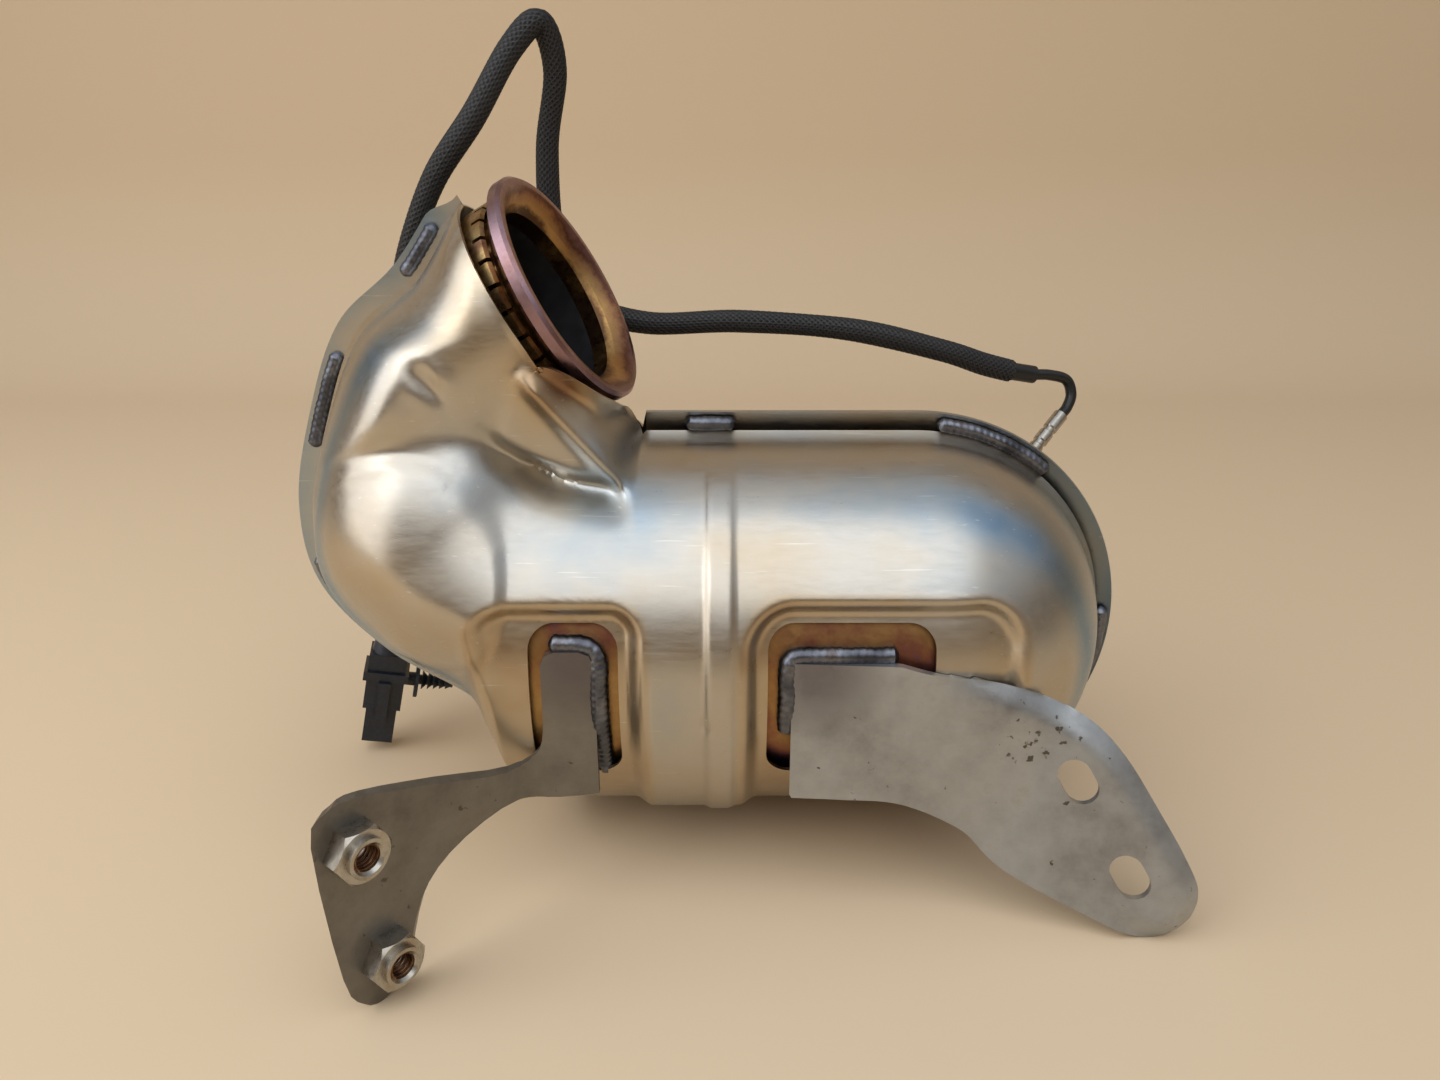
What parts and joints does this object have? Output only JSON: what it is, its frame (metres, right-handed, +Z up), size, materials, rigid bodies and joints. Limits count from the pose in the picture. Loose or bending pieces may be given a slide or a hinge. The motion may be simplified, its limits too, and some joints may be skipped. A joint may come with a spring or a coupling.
{
  "type": "diesel particulate filter",
  "caption": "Close-coupled diesel particulate filter in a stamped heat shield, with a clamp-flange inlet, a rear outlet, welded brackets and a temperature sensor on a braided lead.",
  "frame": {"origin": "centre of the mouth of the inlet's straight bore, just inside the clamp flange", "axes": "+X along the canister towards its round outlet end, +Y to the rear half of the heat shield, +Z up"},
  "size_m": [0.3244, 0.2507, 0.3025],
  "materials": {
    "shield": "satin",
    "canister": "heat tinted",
    "flange": "heat tinted",
    "collar": "heat tinted",
    "bracket": "satin",
    "weld": "rough",
    "ceramic": "matte",
    "mat": "matte",
    "sensor": "satin",
    "lead": "matte",
    "sleeve": "woven",
    "plug": "satin"
  },
  "bodies": {
    "root": {"front_shield": "shield", "rear_shield": "shield", "canister": "canister", "catalyst_brick": "ceramic", "catalyst_mat": "mat", "filter_brick": "ceramic", "filter_mat": "mat", "inlet_hood": "canister", "inlet_pipe": "canister", "inlet_flange": "flange", "inlet_collar": "collar", "outlet_hood": "canister", "outlet_flange": "flange", "left_bracket": "bracket", "weld_nuts": "bracket", "right_bracket": "bracket", "left_bracket_weld": "weld", "right_bracket_weld": "weld", "seam_welds": "weld", "sensor_boss": "sensor", "sensor_nut": "sensor", "sensor_probe": "sensor", "sensor_tube": "sensor", "sensor_lead": "lead", "shrink_tube": "lead", "braided_sleeve": "sleeve", "connector": "plug", "connector_cap": "plug", "connector_clip": "plug"}
  },
  "joints": []
}
